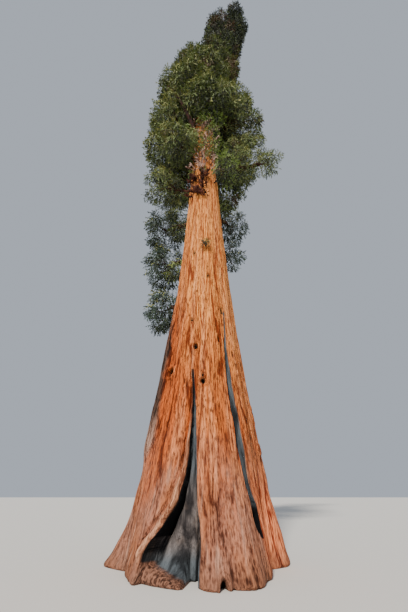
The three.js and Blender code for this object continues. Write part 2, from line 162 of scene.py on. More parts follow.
def bearing_off(bearing, other):
    """The degrees from another bearing, the short way round."""
    return (bearing - other + 540) % 360 - 180


def stem_middle(height):
    """The stem's middle at heights."""
    height = np.asarray(height, float)
    sway = np.clip((height - SWAY_FROM) / (STEM_TOP - SWAY_FROM), 0, 1)
    return np.stack([SWAY_RIGHT * sway**SWAY_BEND, -LEAN_FORWARD * height, height], axis=-1)


def stem_radius(height, bearing):
    """The stem's radius at heights and bearings, with its flutes, buttresses and folds."""
    left = np.maximum(0, 1 - height / STEM_TOP)
    plain = STEM_RADIUS * left**STEM_TAPER + BUTT_SWELL * np.exp(-height / BUTT_FADE)
    radius = np.maximum(plain * (1 + FLUTE_DEPTH * np.sin(np.radians(FLUTES * bearing))), STEM_TIP)
    for at, width, reach, fade in BUTTRESSES:
        radius = radius + reach * np.exp(-((bearing_off(bearing, at) / width) ** 2) - height / fade)
    return radius


# The trunk's points stand in rows up it and columns round it. Columns are closer together in front, where the
# scars are, and rows are closer at the foot.
FRONT_COLUMNS = (-64, 84)
FRONT_SPACING = 0.5
BACK_COLUMNS = 149
FOOT_TOP = 1.7
FOOT_SPACING = 0.02
LOWER_TOP = 7
LOWER_ROWS = 88
UPPER_ROWS = 170
UPPER_SPREAD = 1.3
front_columns = np.arange(*FRONT_COLUMNS, FRONT_SPACING)
back_columns = np.linspace(FRONT_COLUMNS[1], FRONT_COLUMNS[0] + 360, BACK_COLUMNS, endpoint=False)
trunk_bearings = (np.concatenate([front_columns, back_columns]) + 180) % 360 - 180
foot_heights = np.arange(0, FOOT_TOP, FOOT_SPACING)
lower_heights = np.concatenate([foot_heights, np.linspace(FOOT_TOP, LOWER_TOP, LOWER_ROWS)])
upper_heights = LOWER_TOP + (STEM_TOP - LOWER_TOP) * np.linspace(0, 1, UPPER_ROWS)[1:] ** UPPER_SPREAD
trunk_heights = np.concatenate([lower_heights, upper_heights])
height, bearing = np.meshgrid(trunk_heights, trunk_bearings, indexing="ij")
plain_radius = stem_radius(height, bearing)


def ripples(around, along, cells, seed):
    """Smooth noise from about -1 to 1. It closes on itself after a number of cells round the stem."""
    column = np.floor(around).astype(np.int64)
    row = np.floor(along).astype(np.int64)
    u, v = around - column, along - row

    def corner(step_u, step_v):
        key = ((column + step_u) % cells * 73856093) ^ ((row + step_v) * 19349663) ^ (seed * 83492791)
        key = (key & 0x7FFFFFFF) * 48271 % 0x7FFFFFFF
        key = (key ^ (key >> 15)) * 48271 % 0x7FFFFFFF
        angle = key * (2 * math.pi / 0x7FFFFFFF)
        return np.cos(angle) * (u - step_u) + np.sin(angle) * (v - step_v)

    fade_u = u**3 * (u * (6 * u - 15) + 10)
    fade_v = v**3 * (v * (6 * v - 15) + 10)
    low = corner(0, 0) + (corner(1, 0) - corner(0, 0)) * fade_u
    high = corner(0, 1) + (corner(1, 1) - corner(0, 1)) * fade_u
    return 1.5 * (low + (high - low) * fade_v)


def trunk_ripples(cells, along, seed):
    """Ripples over the trunk's points, with a number of cells round it."""
    return ripples(bearing / 360 * cells, along, cells, seed)


# Furrows run up between the ridges and wander. For each size: how many there are round the stem, the metres
# over which they wander, how wide they are as a share of their spacing, and their depth. The whole pattern is
# drawn out longer with height. A ridge is 1 on the bark's face and falls to 0 in a furrow.
FURROWS = [
    (34, 3.4, 0.13, 0.07),
    (78, 1.9, 0.16, 0.045),
    (160, 1.0, 0.2, 0.022),
]
FURROW_STRETCH = 20
FURROW_WANDER = 1.3
FURROW_LEAST = 0.15
drawn = FURROW_STRETCH * (1 - np.exp(-height / FURROW_STRETCH))
ridge = np.ones_like(bearing)
furrow_depth = np.zeros_like(bearing)
for place, (count, rise, width, deep) in enumerate(FURROWS):
    half = count // 2
    wander = FURROW_WANDER * trunk_ripples(half, drawn / rise, 10 + place)
    off = (bearing / 360 * count + wander) % 1 - 0.5
    comes = smooth_step(trunk_ripples(half, drawn / rise / 1.2, 20 + place), -0.3, 0.4)
    furrow = hump(off, width) * (FURROW_LEAST + (1 - FURROW_LEAST) * comes)
    ridge = ridge * (1 - (0.9 - 0.25 * place) * furrow)
    furrow_depth = furrow_depth + deep * furrow

# The foot's bark is worn: its furrows are shallow and cracked, and pale streaks run down it. Everywhere the
# bark is lumpy, and it is thinner where the stem is slim.
BARK_PROUD = 0.03
WORN_HEIGHTS = (0.5, 3.6)
WORN_FURROWS = 0.45
LUMP_HEIGHT = 0.035
THICK_FROM = 2.2
THINNEST_BARK = 0.35
STREAKS = 130
uneven = trunk_ripples(14, height / 1.2, 40)
worn = smooth_fall(height - 0.9 * uneven, *WORN_HEIGHTS)
lumps = trunk_ripples(20, height / 1.1, 41) + 0.5 * trunk_ripples(44, height / 0.5, 42)
thick_bark = np.clip(plain_radius / THICK_FROM, THINNEST_BARK, 1)
relief = BARK_PROUD - furrow_depth * thick_bark * (1 - WORN_FURROWS * worn)
relief = relief + LUMP_HEIGHT * lumps * (0.4 + worn)
streaks = smooth_step(trunk_ripples(STREAKS, drawn / 0.8, 44), 0.3, 0.75)

# Fire scars, as rows from the ground up: height, the bearings of the mouth's left and right edges, and how
# deep it is burnt. Between the edges the depth goes by a shape, as shares of the mouth's width and the depth.
HOLLOW = [
    (0.0, -34, -3, 1.3),
    (0.5, -33, -2.5, 1.15),
    (0.75, -30, -2.3, 0.95),
    (1.0, -25, -3, 0.72),
    (1.5, -17.5, -5, 0.46),
    (2.3, -12.8, -6.2, 0.36),
    (3.5, -11.2, -8, 0.26),
    (4.0, -10.9, -9.2, 0.22),
    (4.5, -12.0, -11.2, 0.18),
    (5.0, -13.2, -12.8, 0.1),
    (5.2, -13.9, -13.8, 0.02),
]
HOLLOW_SHAPE = (
    [0, 0.03, 0.08, 0.13, 0.24, 0.6, 0.9, 0.95, 0.98, 1],
    [0.8, 1, 0.95, 0.56, 0.38, 0.3, 0.32, 0.44, 0.55, 0.5],
)
SEAM = [
    (0.75, 41, 43, 0.1),
    (0.95, 36.6, 42, 0.4),
    (1.2, 34.6, 41.5, 0.5),
    (1.45, 35.4, 40.6, 0.42),
    (1.65, 34.6, 37.4, 0.25),
    (1.95, 31.9, 35.5, 0.18),
    (2.9, 30.8, 36.4, 0.16),
    (3.5, 30.2, 36.6, 0.15),
    (4.4, 28.4, 34.1, 0.14),
    (5.5, 29.0, 32.8, 0.12),
    (6.1, 30.6, 32.4, 0.1),
    (6.8, 33.3, 34.0, 0.08),
    (7.8, 35.4, 35.7, 0.04),
]
SEAM_SHAPE = ([0, 0.15, 0.5, 0.85, 1], [0.7, 1, 0.85, 0.6, 0.15])
HOLLOW_RAGGED, SEAM_RAGGED = 0.6, 0.2
SCAR_EDGE = 0.8
CHAR_EDGE = (-1.1, -0.5)


def scar(rows, shape, ragged):
    """The depth burnt in, how charred it is, its share of the full depth, and the bearings off each edge."""
    heights, left, right, deep = np.array(rows).T
    torn = ragged * ripples(height * 0 + 0.5, height / 0.35, 64, 31)
    off_left = bearing - np.interp(height, heights, left) - torn
    off_right = bearing - np.interp(height, heights, right) + 0.5 * torn
    shape_depth = np.interp(off_left / (off_left - off_right), *shape)
    within = (height <= heights[-1]) * (height >= heights[0] - 0.01)
    inside = smooth_step(off_left, 0, SCAR_EDGE) * smooth_step(-off_right, 0, SCAR_EDGE) * within
    charred = smooth_step(off_left, *CHAR_EDGE) * smooth_step(-off_right, *CHAR_EDGE) * within
    return np.interp(height, heights, deep) * shape_depth * inside, charred, shape_depth, off_left, off_right


hollow_depth, hollow_burnt, hollow_shape, off_left, off_right = scar(HOLLOW, HOLLOW_SHAPE, HOLLOW_RAGGED)
seam_depth, seam_burnt, _, _, off_seam = scar(SEAM, SEAM_SHAPE, SEAM_RAGGED)
any_burnt = np.maximum(hollow_burnt, seam_burnt)

# A rope of new wood stands along the hollow's left edge, wider low down, with a crease beside it, and thinner
# lips stand along its right edge and the seam's. Widths are in degrees.
ROPE_WIDTH = 0.9
ROPE_WIDENS = 1.4
ROPE_PROUD = 0.12
CREASE_DEPTH = 0.1
LIP_PROUD = 0.03
rope_width = ROPE_WIDTH + ROPE_WIDENS * smooth_fall(height, 0.8, 4.5) + 0.25 * uneven
beside_hollow = smooth_step(height, 0.25, 0.6) * smooth_fall(height, 4.5, 7.5)
rope = hump(off_left + 1.3 * rope_width, rope_width) * (off_left < 0.2) * beside_hollow
crease = hump(off_left + 3.4 * rope_width, 0.6 * rope_width) * beside_hollow
right_lip = hump(off_right - 0.8, 0.8) * (off_right > -0.2) * beside_hollow
seam_lip = hump(off_seam - 0.7, 0.6) * (off_seam > -0.2)
seam_lip = seam_lip * smooth_step(height, 1.5, 2.0) * smooth_fall(height, 7, 9)

# The bark on the far left is an old dark slab that stands a little proud, where a burn has healed over. Its
# edge is given as heights and bearings.
OLD_BARK_EDGE = ([2.4, 3.0, 3.6, 4.2, 5.0, 7.0, 9.0], [-66, -57, -54, -55, -56, -58, -72])
OLD_BARK_BACK = -125
OLD_BARK_PROUD = 0.12
old_edge = np.interp(height, *OLD_BARK_EDGE) + 3 * uneven
old_bark = smooth_fall(bearing, old_edge - 2, old_edge + 1) * (bearing > OLD_BARK_BACK)
old_bark = old_bark * smooth_step(height, 2.2, 3.0) * smooth_fall(height, 6, 9.5)

radius = plain_radius + relief * (1 - hollow_burnt) * (1 - seam_burnt) + OLD_BARK_PROUD * old_bark
radius = radius + (ROPE_PROUD + 0.05 * lumps) * rope - CREASE_DEPTH * crease
radius = radius + LIP_PROUD * right_lip + LIP_PROUD * seam_lip
charred_lumps = LUMP_HEIGHT * trunk_ripples(60, height / 0.6, 43)
inner_radius = radius - hollow_depth - seam_depth + charred_lumps * any_burnt

# The toe: a low roll of root bark that curls from the left flank across the foot of the hollow's mouth, as
# bearing, how far out its front is, and how high it stands. Under its top the hollow isn't open: the roll's
# rounded face runs back to a bank of ash that slopes up behind it.
TOE = [
    (-58, 2.4, 0.62),
    (-46, 2.5, 0.66),
    (-38, 2.54, 0.5),
    (-31, 2.56, 0.33),
    (-24, 2.6, 0.22),
    (-17, 2.66, 0.14),
    (-12, 2.72, 0.09),
    (-9.5, 2.64, 0.02),
]
TOE_FROM = (-62, -44)
TOE_WIDE = 0.34
ASH_BANK = 0.5
ASH_CURVE = 0.7
toe_bearings, toe_fronts, toe_tops = np.array(TOE).T
toe_top = np.interp(bearing, toe_bearings, toe_tops) * (1 + 0.1 * trunk_ripples(40, height * 0, 50))
toe_front = np.interp(bearing, toe_bearings, toe_fronts) + 0.04 * lumps
toe_face = toe_front - TOE_WIDE * (1 - np.sqrt(np.clip(1 - (height / toe_top) ** 2, 0, 1)))
up_bank = np.clip((height - toe_top) / ASH_BANK, 0, 1) ** ASH_CURVE
toe_radius = toe_face + (inner_radius - toe_face) * up_bank
in_toe = smooth_step(bearing, *TOE_FROM) * (bearing < TOE[-1][0])
radius = inner_radius + np.maximum(toe_radius - inner_radius, 0) * in_toe
toe_bark = in_toe * smooth_step(toe_top - height, -0.02, 0.02)

# Scars of shed limbs, and the small arch under the front buttress: height, bearing, how wide, tall and deep.
# Each is a pit with a swollen rim, and its pit is painted black as shade.
KNOTS = [
    (6.1, -12, 0.07, 0.12, 0.12),
    (5.25, -49, 0.17, 0.13, 0.2),
    (4.75, -1, 0.1, 0.11, 0.16),
    (4.95, -1.5, 0.04, 0.09, 0.1),
    (7.3, -20, 0.06, 0.1, 0.08),
    (6.4, 21, 0.06, 0.17, 0.1),
    (7.8, 32, 0.06, 0.19, 0.08),
    (5.9, 43, 0.05, 0.14, 0.08),
    (5.4, 46, 0.05, 0.17, 0.08),
    (2.9, 80, 0.1, 0.12, 0.2),
    (4.0, 84, 0.06, 0.17, 0.1),
    (9.6, 8, 0.05, 0.1, 0.06),
    (11.2, -24, 0.05, 0.1, 0.06),
    (8.8, 120, 0.1, 0.17, 0.14),
    (5.0, 165, 0.1, 0.15, 0.16),
    (10.4, -150, 0.08, 0.14, 0.12),
    (3.6, -120, 0.1, 0.14, 0.14),
    (0.0, 9, 0.09, 0.17, 0.25),
]
KNOT_RIM = 0.3
knot_painted_shade = np.zeros_like(bearing)
for knot_height, knot_bearing, wide, tall, deep in KNOTS:
    aside = np.radians(bearing_off(bearing, knot_bearing)) * plain_radius
    off = np.hypot(aside / wide, (height - knot_height) / tall) + 0.2 * lumps
    radius = radius - deep * np.exp(-(off**4)) + KNOT_RIM * deep * np.exp(-((off - 1.5) ** 2) / 0.2)
    knot_painted_shade = np.maximum(knot_painted_shade, smooth_fall(off, 0.75, 1.15))

# The bark tucks in where it meets the ground.
TUCK_DEPTH = 0.06
TUCK_HEIGHT = 0.03
radius = radius - TUCK_DEPTH * np.exp(-height / TUCK_HEIGHT)
trunk_points = stem_middle(height) + towards(bearing) * radius[..., None]

# What is bark and what is charred wood or ash. Behind the fold at the right the bark is less worn and red.
# The red bark is also painted lighter, as painted light on the rear buttress, which faces away from the key
# light.
red_bark = smooth_step(bearing, 38, 44) * smooth_fall(bearing, 84, 108) * smooth_fall(height, 1.2, 2.6)
burnt = any_burnt * (1 - toe_bark)
# Where this mask is 0 in a scar, the char is painted black as shade: deep in the hollow, along its left wall,
# and low in the seam.
ash_and_painted_shade = hollow_burnt * smooth_fall(hollow_shape, 0.5, 0.75)
ash_and_painted_shade = np.maximum(ash_and_painted_shade, seam_burnt * smooth_step(height, 1.3, 1.6))
ash_and_painted_shade = np.maximum(ash_and_painted_shade, in_toe * (toe_radius > inner_radius) * (height > toe_top))


def close_rows(rows, columns, foot_end=True, top_end=True):
    """The triangles between rows of points that close on themselves, with a fan over each closed end."""
    index = np.arange(rows * columns).reshape(rows, columns)
    beside = np.roll(index, -1, axis=1)
    lower, lower_next = index[:-1].ravel(), beside[:-1].ravel()
    upper, upper_next = index[1:].ravel(), beside[1:].ravel()
    parts = [
        np.stack([lower, lower_next, upper_next], axis=1),
        np.stack([lower, upper_next, upper], axis=1),
    ]
    foot, top = rows * columns, rows * columns + 1
    if foot_end:
        parts.append(np.stack([beside[0], index[0], np.full(columns, foot)], axis=1))
    if top_end:
        parts.append(np.stack([index[-1], beside[-1], np.full(columns, top)], axis=1))
    return np.concatenate(parts)


def build(name, points, triangles, finish, smooth=True, facts=None):
    """A piece of the tree from points in living metres, with a value at each point for each fact."""
    mesh = bpy.data.meshes.new(name)
    mesh.vertices.add(len(points))
    mesh.vertices.foreach_set("co", (np.asarray(points) * METRE).astype(np.float32).ravel())
    mesh.loops.add(3 * len(triangles))
    mesh.loops.foreach_set("vertex_index", np.asarray(triangles, np.int32).ravel())
    mesh.polygons.add(len(triangles))
    mesh.polygons.foreach_set("loop_start", np.arange(0, 3 * len(triangles), 3, dtype=np.int32))
    mesh.polygons.foreach_set("use_smooth", np.full(len(triangles), smooth))
    mesh.update(calc_edges=True)
    for fact, values in (facts or {}).items():
        kind, field = ("FLOAT_VECTOR", "vector") if values.ndim == 2 else ("FLOAT", "value")
        layer = mesh.attributes.new(fact, kind, "POINT")
        layer.data.foreach_set(field, np.asarray(values, np.float32).ravel())
    mesh.materials.append(finish)
    piece = bpy.data.objects.new(name, mesh)
    bpy.context.collection.objects.link(piece)
    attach(piece, "root")
    return piece


class Wire:
    """An output of a material's nodes. An expression on wires adds the Math nodes that work it out."""

    def __init__(self, tree, socket=None):
        self.tree = tree
        self.socket = socket

    def node(self, kind, settings, inputs, output=0):
        """Another node: its settings are made first, and then its sockets get values or wires."""
        made = self.tree.nodes.new(kind)
        for name, value in settings.items():
            setattr(made, name, value)
        for name, value in inputs.items():
            if isinstance(value, Wire):
                self.tree.links.new(value.socket, made.inputs[name])
            else:
                made.inputs[name].default_value = value
        return Wire(self.tree, made.outputs[output])

    def math(self, operation, *values):
        return self.node("ShaderNodeMath", {"operation": operation}, dict(enumerate(values)))

    def __add__(self, other):
        return self.math("ADD", self, other)

    def __sub__(self, other):
        return self.math("SUBTRACT", self, other)

    def __rsub__(self, other):
        return self.math("SUBTRACT", other, self)

    def __mul__(self, other):
        return self.math("MULTIPLY", self, other)

    __radd__ = __add__
    __rmul__ = __mul__

    def rise(self, low, high):
        """From 0 to 1 as the value goes from low to high."""
        settings = {"interpolation_type": "SMOOTHSTEP"}
        return self.node("ShaderNodeMapRange", settings, {"Value": self, "From Min": low, "From Max": high})

    def blend(self, low, high):
        """A colour between two, by this value. Each is a wire or a six-figure code."""
        low, high = [tint(colour) if isinstance(colour, str) else colour for colour in (low, high)]
        return self.node("ShaderNodeMix", {"data_type": "RGBA"}, {0: self, 6: low, 7: high}, 2)

    def fact(self, name, output=2):
        """What the mesh holds at each of its points: a number, or from output 1 a place."""
        return self.node("ShaderNodeAttribute", {"attribute_name": name}, {}, output)

    def grain(self, stretch, scale, detail=4):
        """Noise from 0 to 1 over this place, drawn out along each axis."""
        drawn = self.node("ShaderNodeVectorMath", {"operation": "MULTIPLY"}, {0: self, 1: stretch})
        return self.node("ShaderNodeTexNoise", {}, {"Vector": drawn, "Scale": scale, "Detail": detail})

    def bump(self, strength, distance):
        """A surface direction roughened by this value."""
        return self.node("ShaderNodeBump", {}, {"Height": self, "Strength": strength, "Distance": distance})


def tint(code):
    """A colour from its usual six-figure code, as the shader's linear values."""
    levels = [int(code[i : i + 2], 16) / 255 for i in (0, 2, 4)]
    return (*[v / 12.92 if v <= 0.04045 else ((v + 0.055) / 1.055) ** 2.4 for v in levels], 1)


def new_finish(name, roughness, specular):
    """A material with a plain shader, and a first wire to build its expressions from."""
    finish = bpy.data.materials.new(name)
    finish.use_nodes = True
    shader = finish.node_tree.nodes["Principled BSDF"]
    shader.inputs["Roughness"].default_value = roughness
    shader.inputs["Specular IOR Level"].default_value = specular
    return finish, shader, Wire(finish.node_tree)


def join(wire, shader, socket):
    wire.tree.links.new(wire.socket, shader.inputs[socket])


def clean_bark(start, place, tone, patch):
    """Red-brown low down and golden higher up, with pale bands and dark dashes along the fibres."""
    low_red = tone.blend("561d0b", "c8652f")
    high_gold = tone.blend("8c3a12", "ffab5c")
    bark = (start.fact("golden") + 0.25 * patch).rise(0.18, 0.46).blend(low_red, high_gold)
    band = place.grain((1, 1, 0.06), 4.2, 3).rise(0.48, 0.62)
    bark = (0.4 * band).blend(bark, tone.blend("84462a", "f8ac78"))
    dashes = place.grain((1, 1, 0.26), 23, 2).rise(0.56, 0.63)
    return (0.72 * dashes).blend(bark, "461c0b")


def worn_bark(start, tone, patch):
    """Dull brown and greyer patches, with pale streaks."""
    bark = patch.rise(0.38, 0.62).blend(tone.blend("4a2112", "a56848"), tone.blend("4a2b20", "aa7762"))
    return (0.4 * start.fact("streaks")).blend(bark, "d8ab94")


def old_slab(up_stem, tone, patch):
    """The old dark slab on the far left, bleached at its foot."""
    tone = (0.7 * tone + 0.5 * patch).rise(0.35, 0.8)
    return up_stem.rise(0.1, 0.135).blend(tone.blend("5a3f33", "a98574"), tone.blend("1c130e", "594136"))


def charred_wood(start, place, patch):
    """Cold grey char, warmer where the wood is bared low in the hollow, and painted black as shade in the
    deepest places and low in the seam.
    """
    ashes = (0.8 * place.grain((1, 1, 0.16), 7, 5) + 0.5 * patch).rise(0.5, 0.8)
    bared = place.grain((1, 1, 0.5), 2.6, 4).rise(0.46, 0.62)
    warm = bared.blend(ashes.blend("2b2829", "7c7472"), ashes.blend("453c37", "927f75"))
    char = start.fact("bared").blend(ashes.blend("1f2225", "565d63"), warm)
    # Painted shade: black where the mask is 0.
    return start.fact("ash_and_painted_shade").blend("0c0c0e", char)


def bark_finish():
    """Cinnamon bark in fibres, golden higher up, worn and cracked at the foot, and charred in the scars."""
    finish, shader, start = new_finish("bark", 0.92, 0.12)
    place = start.fact("bark_place", 1)
    fibre = place.grain((1, 1, 0.12), 16, 5)
    fine_fibre = place.grain((1, 1, 0.12), 42, 3)
    mottle = place.grain((1, 1, 0.4), 26, 6)
    patch = place.grain((1, 1, 0.4), 1.3, 4)
    ridge = start.fact("ridge")
    up_stem = start.fact("up_stem")
    worn = start.fact("worn")
    # In both tones the ridge term paints the furrows darker as painted shade and the ridge faces lighter as a
    # painted highlight; the fibres are the bark's own grain.
    tone = (0.4 * ridge + 0.8 * fibre + 0.8 * fine_fibre).rise(0.88, 1.34)
    worn_tone = (0.35 * ridge + 0.4 * fibre + 0.7 * fine_fibre + 0.8 * mottle).rise(0.92, 1.42)
    bark = (0.9 * worn).blend(clean_bark(start, place, tone, patch), worn_bark(start, worn_tone, patch))
    # Red, less worn bark behind the fold, also painted lighter as painted light.
    bark = start.fact("red_bark").blend(bark, tone.blend("7c2d17", "ff9a66"))
    bark = (0.6 - 0.6 * up_stem.rise(0, 0.022)).blend(bark, worn_tone.blend("2b1c15", "7a5644"))
    curled = (1.6 * mottle).rise(0.6, 1.0).blend("35221a", "8e6654")
    bark = (0.8 * start.fact("toe")).blend(bark, curled)
    bark = start.fact("shaded").blend(bark, tone.blend("20110a", "5c3822"))
    bark = start.fact("old_bark").blend(bark, old_slab(up_stem, tone, patch))
    bark = (0.65 * start.fact("lip")).blend(bark, tone.blend("7d4a34", "e3ac8a"))
    bark = start.fact("burnt").blend(bark, charred_wood(start, place, patch))
    # The knots' pits are painted black, as painted shade.
    bark = start.fact("knot_painted_shade").blend(bark, "120c09")
    join(bark, shader, "Base Color")
    rough = fibre + 0.6 * fine_fibre + 0.8 * worn * mottle
    join(rough.bump(1.0, 0.045), shader, "Normal")
    return finish


# What the finish needs to know at each point. The crown shades the stem high up, and the bark's pattern lies
# round a plain stem, so that it isn't drawn out where the foot spreads.
PATTERN_RADIUS = 1.6
GOLDEN_HEIGHT = 30
bark = bark_finish()
trunk_facts = {
    "ridge": ridge,
    "worn": worn * (1 - 0.8 * red_bark),
    "streaks": streaks,
    "old_bark": old_bark,
    "red_bark": red_bark,
    "lip": np.clip(rope + 0.3 * right_lip + seam_lip, 0, 1),
    "burnt": burnt,
    "ash_and_painted_shade": ash_and_painted_shade,
    "toe": toe_bark * hollow_burnt,
    "bared": hollow_burnt * smooth_step(height, 0.3, 0.7) * smooth_fall(height, 1.5, 2.4),
    "knot_painted_shade": knot_painted_shade,
    "up_stem": np.clip(height / GOLDEN_HEIGHT, 0, 1),
    "golden": height / GOLDEN_HEIGHT - 0.16 * smooth_fall(bearing, -48, -12),
    "shaded": smooth_step(height, 24, 32),
}
bark_place = towards(bearing) * (PATTERN_RADIUS + radius - plain_radius)[..., None]
bark_place[..., 2] = drawn
lower_rows = len(lower_heights)
for name, first, last in (("lower", 0, lower_rows), ("upper", lower_rows - 1, len(trunk_heights))):
    rows = slice(first, last)
    ends = [stem_middle(trunk_heights[first]), stem_middle(trunk_heights[last - 1])]
    points = np.concatenate([trunk_points[rows].reshape(-1, 3), ends])
    facts = {fact: np.append(values[rows].ravel(), [0, 0]) for fact, values in trunk_facts.items()}
    facts["bark_place"] = np.concatenate([bark_place[rows].reshape(-1, 3), ends])
    triangles = close_rows(last - first, len(trunk_bearings), name == "lower", name == "upper")
    trunk = build(f"trunk_bark_{name}", points, triangles, bark, facts=facts)
    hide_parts("trunk")


# The crown's plan: the places of the masses of foliage, by the same rule as the solids. Masses stand in tiers
# inside the crown's outline, some hang low behind the trunk, skirts sit close round it, and one is its tip.
# A mass is kept as its name, its centre, its radius and its height as a share of its width.
# The outline: height, and how far the crown reaches to the left, right, front and back.
CROWN = [
    (15, -3.9, 3.4, -1.4, 4.8),
    (20, -4.8, 5.1, -3.2, 5.3),
    (25, -5.1, 5.5, -3.8, 5.4),
    (29, -5.4, 5.5, -4.2, 5.2),
    (33, -5.5, 4.3, -4.2, 4.9),
    (37, -5.2, 4.3, -3.9, 4.5),
    (42, -4.1, 4.7, -3.3, 4.1),
    (45, -3.5, 4.6, -3.1, 3.7),
    (47, -1.0, 4.6, -3.0, 3.5),
    (51, -0.4, 5.8, -3.2, 2.9),
    (57, -0.3, 6.9, -3.5, 2.0),
    (65, 0.6, 6.6, -3.4, 0.8),
]
FOOT_FRONT, FOOT_SIDE, FOOT_BACK = 23.5, 17.6, 15.0
TIER_FIRST = 19.4
TIER_LIFT = 4.1
TIER_TURN = 137.5
TIER_WANDER = 1.2
TIER_JITTER = 0.3
TIER_MASSES = [4, 5, 5, 4, 4, 4, 4, 3, 3, 3, 2]
MASS_SIZE = 2.1
MASS_GROWS, MASS_SHRINKS = 0.5, 0.6
MASS_SPREAD = 0.14
MASS_TALL = 1.15
TOP_MASS = (4.8, -1.9, 1.5)
# Name, bearing, height, distance out, radius, and height as a share of the width.
MASSES_OUTSIDE = [
    ("low_left_lower", -140, 10.5, 3.65, 1.25, 1.5),
    ("low_left_middle", -135, 13.6, 3.6, 1.5, 1.35),
    ("low_left_upper", -127, 16.4, 3.4, 1.5, 1.3),
    ("low_right_lower", 146, 14.4, 2.95, 1.1, 1.35),
    ("low_right_upper", 140, 17.2, 3.2, 1.3, 1.3),
    ("outer_right", 84, 20.4, 4.5, 1.0, 1.2),
    ("skirt_left", -94, 18.4, 2.7, 1.45, 1.25),
    ("skirt_front_left", -50, 20.9, 2.25, 1.45, 1.15),
    ("skirt_front_right", 46, 18.0, 1.9, 1.05, 1.2),
    ("skirt_right", 76, 19.7, 2.5, 1.3, 1.1),
]
SIDE_NAMES = ["front", "front_right", "right", "back_right", "back", "back_left", "left", "front_left"]


def seeded(state):
    """A repeatable stream of numbers from 0 to 1, the same as the solids'."""
    while True:
        state = (state + 0x6D2B79F5) & 0xFFFFFFFF
        t = (state ^ (state >> 15)) * (state | 1) & 0xFFFFFFFF
        t ^= t + ((t ^ (t >> 7)) * (t | 61) & 0xFFFFFFFF) & 0xFFFFFFFF
        yield ((t ^ (t >> 14)) & 0xFFFFFFFF) / 4294967296


def crown_foot(bearing):
    facing = math.cos(math.radians(bearing))
    end = FOOT_FRONT if facing > 0 else FOOT_BACK
    return FOOT_SIDE + (end - FOOT_SIDE) * facing**2


def crown_reaches(level):
    """How far the crown reaches at a height: its left, right, front and back."""
    levels, *reaches = np.array(CROWN).T
    return [np.interp(level, levels, reach) for reach in reaches]


masses = []
stream = seeded(65)
for tier, count in enumerate(TIER_MASSES):
    level = TIER_FIRST + tier * TIER_LIFT
    for place in range(count):
        turn = tier * TIER_TURN + (place + TIER_JITTER * next(stream)) * 360 / count
        at = math.fmod(turn + 180, 360) - 180
        middle = level + TIER_WANDER * (next(stream) - 0.5)
        size = MASS_SIZE + MASS_GROWS * smooth_step(level, 18, 30)
        size = size - MASS_SHRINKS * smooth_step(level, 40, 58)
        size = float(size * (1 + MASS_SPREAD * (next(stream) - 0.5)))
        if middle - size < crown_foot(at):
            continue
        left, right, front, back = crown_reaches(middle)
        out = towards(at)
        x = (left + right) / 2 + out[0] * ((right - left) / 2 - size)
        y = (front + back) / 2 + out[1] * ((back - front) / 2 - size)
        name = f"foliage_{tier + 1}_{SIDE_NAMES[math.floor((at + 360) / 45 + 0.5) % 8]}"
        masses.append((name, np.array([x, y, middle]), size, MASS_TALL))
for name, at, level, out, size, tall in MASSES_OUTSIDE:
    masses.append((f"foliage_{name}", stem_middle(level) + towards(at) * out, size, tall))
x, y, size = TOP_MASS
masses.append(("foliage_top", np.array([x, y, LIVING_HEIGHT - size * MASS_TALL]), size, MASS_TALL))
strangers = {name for name, *_ in masses} ^ {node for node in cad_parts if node.startswith("foliage")}
assert not strangers, strangers


def space_of(mass):
    """The flat sides of a mass's own space, as directions and offsets: one towards each neighbour."""
    _, centre, size, tall = mass
    sides = []
    for other in masses:
        _, middle, reach, high = other
        apart = np.linalg.norm(centre - middle)
        if other is mass or apart > tall * size + high * reach:
            continue
        share = 0.5 + (size**2 - reach**2) / (2 * apart**2)
        out = (centre - middle) / apart
        sides.append((*out, out @ (centre + (middle - centre) * share)))
    return np.array(sides).reshape(-1, 4)


# The limbs: boughs leave the stem, sag a little and rise into their masses, and go on through them as limbs
# that fork into twigs. They are wood under thin grey-brown bark. Above the low boughs each mass has a limb
# straight from the stem.
BOUGH_HIGHEST = 27
BOUGH_ROOT = 0.13
BOUGH_TIP = 0.075
BOUGH_LEAST = 1.6
BOUGH_RISE = 0.8
BOUGH_SAG = 0.3
BOUGH_ENTERS = 0.66
BOUGH_STEPS = 22
BOUGH_SIDES = 14


def unit(vectors):
    return vectors / np.linalg.norm(vectors, axis=-1)[..., None]


def tapered(lines, radii, sides):
    """Limbs along lines of points (limb, step, 3), with a radius for each step, or each side of each step."""
    limbs, steps = lines.shape[:2]
    along = unit(np.gradient(lines, axis=1))
    upright = np.abs(along[:, :, 2].mean(axis=1)) > 0.8
    level = np.where(upright[:, None, None], (1.0, 0.0, 0.0), (0.0, 0.0, 1.0))
    across = unit(np.cross(level, along))
    proud = np.cross(along, across)
    turn = 2 * math.pi * np.arange(sides) / sides
    round_limb = across[:, :, None] * np.cos(turn)[:, None] + proud[:, :, None] * np.sin(turn)[:, None]
    rings = lines[:, :, None] + round_limb * radii[..., None]
    points = np.concatenate([rings.reshape(limbs, -1, 3), lines[:, [0, -1]]], axis=1)
    triangles = close_rows(steps, sides) + (np.arange(limbs) * points.shape[1])[:, None, None]
    return points.reshape(-1, 3), triangles.reshape(-1, 3)


def bowed(root, bend, end, steps):
    """Curves from roots to ends, pulled towards their bends: (limb, step, 3)."""
    share = np.linspace(0, 1, steps)[None, :, None]
    root, bend, end = [np.asarray(point, float).reshape(-1, 1, 3) for point in (root, bend, end)]
    return root * (1 - share) ** 2 + 2 * bend * share * (1 - share) + end * share**2


def limb_finish(name, low, high):
    """Grey-brown limb bark, flaking in short plates."""
    finish, shader, start = new_finish(name, 0.9, 0.15)
    plates = start.node("ShaderNodeTexCoord", {}, {}, 3).grain((1, 1, 1), 9, 5)
    join(plates.rise(0.35, 0.7).blend(low, high), shader, "Base Color")
    join(plates.bump(0.5, 0.01), shader, "Normal")
    return finish


